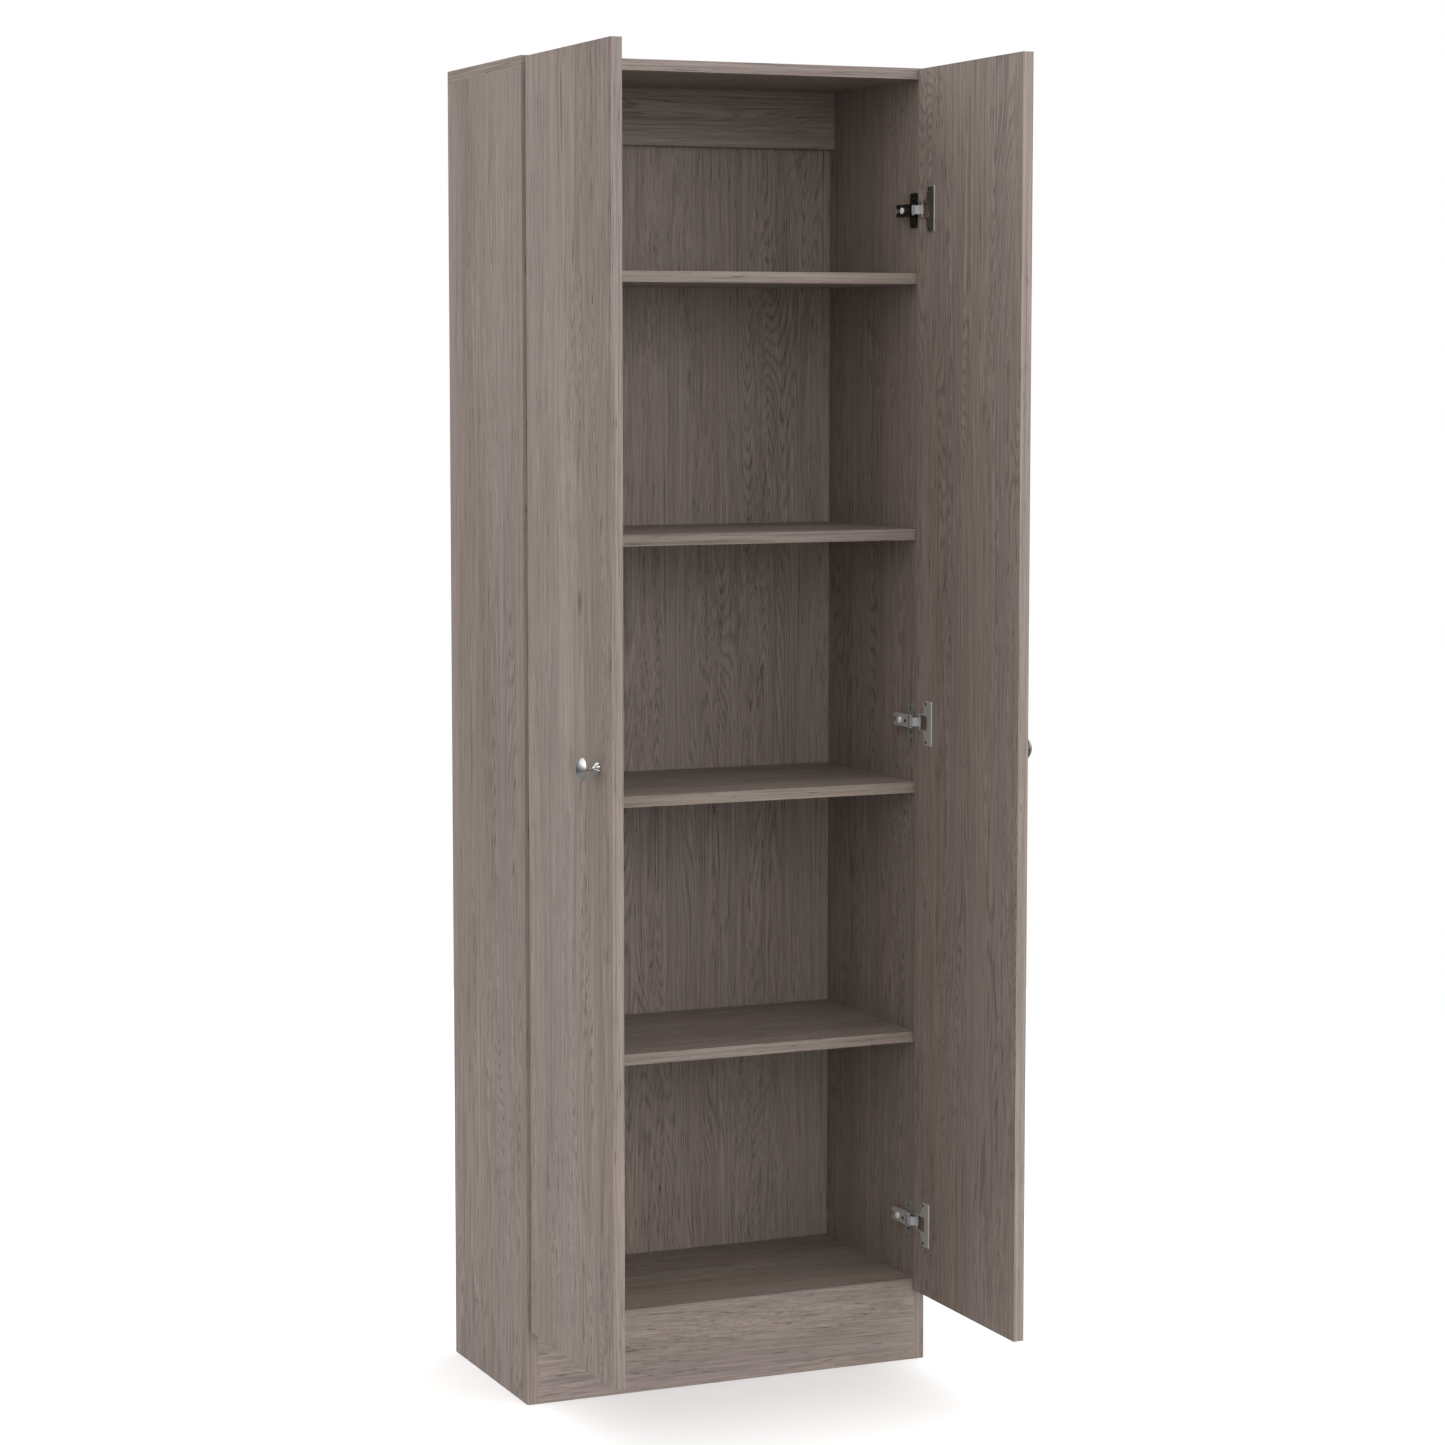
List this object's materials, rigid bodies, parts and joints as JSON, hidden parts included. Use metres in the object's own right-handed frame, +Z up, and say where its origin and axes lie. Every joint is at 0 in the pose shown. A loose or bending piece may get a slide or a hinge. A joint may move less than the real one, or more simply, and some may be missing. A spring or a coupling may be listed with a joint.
{
  "type": "pantry cabinet",
  "caption": "Tall narrow pantry cabinet with slab doors on concealed cup hinges, shelves, a toe kick and a wall-fixing rail, in grey-brown oak-grain board.",
  "frame": {"origin": "on the floor under the centre of the bounding box, with both doors open at a right angle", "axes": "+Z up, the doors' side faces -Y, +X to the right of someone facing the open cabinet"},
  "size_m": [0.6494, 0.5886, 1.808],
  "materials": {
    "oak_board": "matt printed oak-grain laminate in light grey-brown on 15 mm board, same decor on the edge bands",
    "back_board": "the same decor on 3 mm board",
    "hinge_metal": "satin nickel-plated pressed steel",
    "screw_steel": "bright zinc-plated steel",
    "knob_metal": "polished satin chrome"
  },
  "bodies": {
    "carcass": {"top_panel": "oak_board", "toe_kick": "oak_board", "bottom_panel": "oak_board", "back_panel": "back_board", "top_rail": "oak_board", "shelf_1": "oak_board", "shelf_2": "oak_board", "shelf_3": "oak_board", "shelf_4": "oak_board", "left_side_panel": "oak_board", "right_side_panel": "oak_board", "left_lower_hinge_plate": "hinge_metal", "left_lower_hinge_arm": "hinge_metal", "left_lower_hinge_arm_pin": "screw_steel", "left_lower_hinge_fixing_screw": "screw_steel", "left_middle_hinge_plate": "hinge_metal", "left_middle_hinge_arm": "hinge_metal", "left_middle_hinge_arm_pin": "screw_steel", "left_middle_hinge_fixing_screw": "screw_steel", "left_upper_hinge_plate": "hinge_metal", "left_upper_hinge_arm": "hinge_metal", "left_upper_hinge_arm_pin": "screw_steel", "left_upper_hinge_fixing_screw": "screw_steel", "right_lower_hinge_plate": "hinge_metal", "right_lower_hinge_arm": "hinge_metal", "right_lower_hinge_arm_pin": "screw_steel", "right_lower_hinge_fixing_screw": "screw_steel", "right_middle_hinge_plate": "hinge_metal", "right_middle_hinge_arm": "hinge_metal", "right_middle_hinge_arm_pin": "screw_steel", "right_middle_hinge_fixing_screw": "screw_steel", "right_upper_hinge_plate": "hinge_metal", "right_upper_hinge_arm": "hinge_metal", "right_upper_hinge_arm_pin": "screw_steel", "right_upper_hinge_fixing_screw": "screw_steel"},
    "left_links": {"left_lower_hinge_link": "hinge_metal", "left_middle_hinge_link": "hinge_metal", "left_upper_hinge_link": "hinge_metal"},
    "left_door": {"left_door": "oak_board", "left_knob": "knob_metal", "left_lower_hinge_cup": "hinge_metal", "left_lower_hinge_cup_pin": "screw_steel", "left_middle_hinge_cup": "hinge_metal", "left_middle_hinge_cup_pin": "screw_steel", "left_upper_hinge_cup": "hinge_metal", "left_upper_hinge_cup_pin": "screw_steel"},
    "right_links": {"right_lower_hinge_link": "hinge_metal", "right_middle_hinge_link": "hinge_metal", "right_upper_hinge_link": "hinge_metal"},
    "right_door": {"right_door": "oak_board", "right_knob": "knob_metal", "right_lower_hinge_cup": "hinge_metal", "right_lower_hinge_cup_pin": "screw_steel", "right_middle_hinge_cup": "hinge_metal", "right_middle_hinge_cup_pin": "screw_steel", "right_upper_hinge_cup": "hinge_metal", "right_upper_hinge_cup_pin": "screw_steel"}
  },
  "joints": [
    {"name": "left_link_pivot", "type": "hinge", "parent": "carcass", "child": "left_links", "pos_m": [-0.27411, 0.00356, 0.9085], "axis": [0, 0, 1], "range_deg": [-49.5, 6.8]},
    {"name": "left_door_swing", "type": "hinge", "parent": "left_links", "child": "left_door", "pos_m": [-0.2822, -0.0078, 0.9085], "axis": [0, 0, 1], "range_deg": [-18.6, 139.34]},
    {"name": "right_link_pivot", "type": "hinge", "parent": "carcass", "child": "right_links", "pos_m": [0.27411, 0.00356, 0.9085], "axis": [0, 0, -1], "range_deg": [-49.5, 6.8]},
    {"name": "right_door_swing", "type": "hinge", "parent": "right_links", "child": "right_door", "pos_m": [0.2822, -0.0078, 0.9085], "axis": [0, 0, -1], "range_deg": [-18.6, 139.34]}
  ],
  "couplings": [
    {"joint": "left_link_pivot", "follows": "left_door_swing", "ratio": -0.35413},
    {"joint": "right_link_pivot", "follows": "right_door_swing", "ratio": -0.35413}
  ]
}
